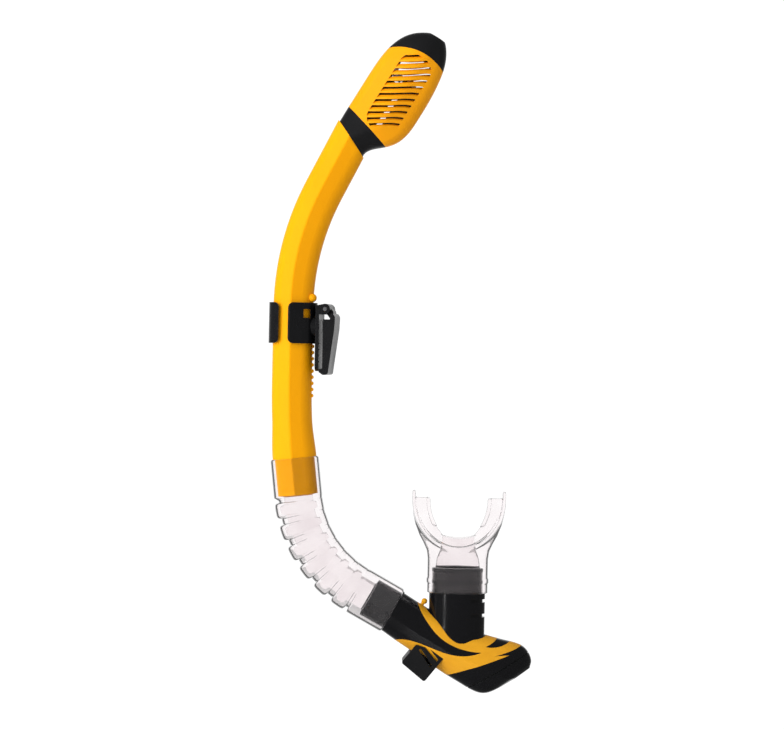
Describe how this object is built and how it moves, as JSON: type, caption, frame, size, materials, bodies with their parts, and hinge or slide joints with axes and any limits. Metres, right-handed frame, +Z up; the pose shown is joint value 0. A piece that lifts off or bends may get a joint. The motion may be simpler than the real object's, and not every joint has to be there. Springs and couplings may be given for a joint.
{
  "type": "snorkel tube",
  "caption": "Dry-top snorkel: bent tube with a vented float-valve head, clear flexible hose, lower chamber with exhaust duct, silicone mouthpiece and a mask-strap keeper.",
  "frame": {"origin": "centre line of the straight stretch of the barrel, at the middle of the mask keeper", "axes": "+Z up along the straight stretch to the dry top, +X towards the mouthpiece and the wearer, Y across the tube; the tube bends in the XZ plane"},
  "size_m": [0.1748, 0.0314, 0.4284],
  "materials": {
    "yellow_tube": "moulded, semi-gloss",
    "yellow_head": "moulded, semi-gloss",
    "black_satin": "satin",
    "black_gloss": "polished",
    "keeper_black": "satin",
    "yellow_soft": "soft overmould",
    "clear_silicone": "clear",
    "silicone_seal": "matt",
    "seal_rubber": "matt",
    "float_foam": "matt",
    "white_acetal": "satin",
    "steel": "turned"
  },
  "bodies": {
    "barrel": {"barrel": "yellow_tube", "dry_top_base": "black_satin", "base_seal_ring": "seal_rubber", "vent_housing": "yellow_head", "top_cap": "black_satin", "lever_pin": "steel", "flex_hose": "clear_silicone"},
    "float": {"float_block": "float_foam"},
    "lever": {"valve_lever": "white_acetal", "seal_flap": "silicone_seal"},
    "keeper": {"keeper_collar": "keeper_black", "swivel_pin": "keeper_black"},
    "buckle": {"strap_plate": "keeper_black", "gate_pin": "steel"},
    "gate": {"strap_gate": "keeper_black"},
    "lower": {"chamber": "black_gloss", "accent_sleeve": "yellow_soft", "sump_cover": "black_gloss", "sump_gasket": "seal_rubber", "exhaust_duct": "black_satin", "mouthpiece": "clear_silicone"},
    "flap": {"exhaust_flap": "silicone_seal"}
  },
  "joints": [
    {"name": "hose_bend", "type": "hinge", "parent": "barrel", "child": "lower", "pos_m": [0.02077, 0, -0.14634], "axis": [0, 1, 0], "range_deg": [-25, 40], "stiffness_Nm_per_rad": 1.5, "springref_deg": -1.72, "deforming": ["flex_hose"]},
    {"name": "float_rise", "type": "slide", "parent": "barrel", "child": "float", "axis": [0.515, 0, 0.8572], "range_m": [0, 0.0029]},
    {"name": "lever_tilt", "type": "hinge", "parent": "barrel", "child": "lever", "pos_m": [0.07225, 0, 0.1581], "axis": [0, -1, 0], "range_deg": [0, 20]},
    {"name": "keeper_slide", "type": "slide", "parent": "barrel", "child": "keeper", "axis": [0, 0, 1], "range_m": [-0.026, 0]},
    {"name": "buckle_swivel", "type": "hinge", "parent": "keeper", "child": "buckle", "pos_m": [0.01625, -0.00287, -0.002], "axis": [0.9848, -0.1736, 0], "range_deg": [-90, 90]},
    {"name": "gate_swing", "type": "hinge", "parent": "buckle", "child": "gate", "pos_m": [0.02226, -0.00392, 0.0093], "axis": [-0.1736, -0.9848, 0], "range_deg": [0, 70]},
    {"name": "flap_lift", "type": "slide", "parent": "lower", "child": "flap", "axis": [-0.4825, 0, -0.8759], "range_m": [0, 0.0012], "stiffness_N_per_m": 60}
  ],
  "couplings": [
    {"joint": "lever_tilt", "follows": "float_rise", "rad_per_m": 117.6}
  ]
}
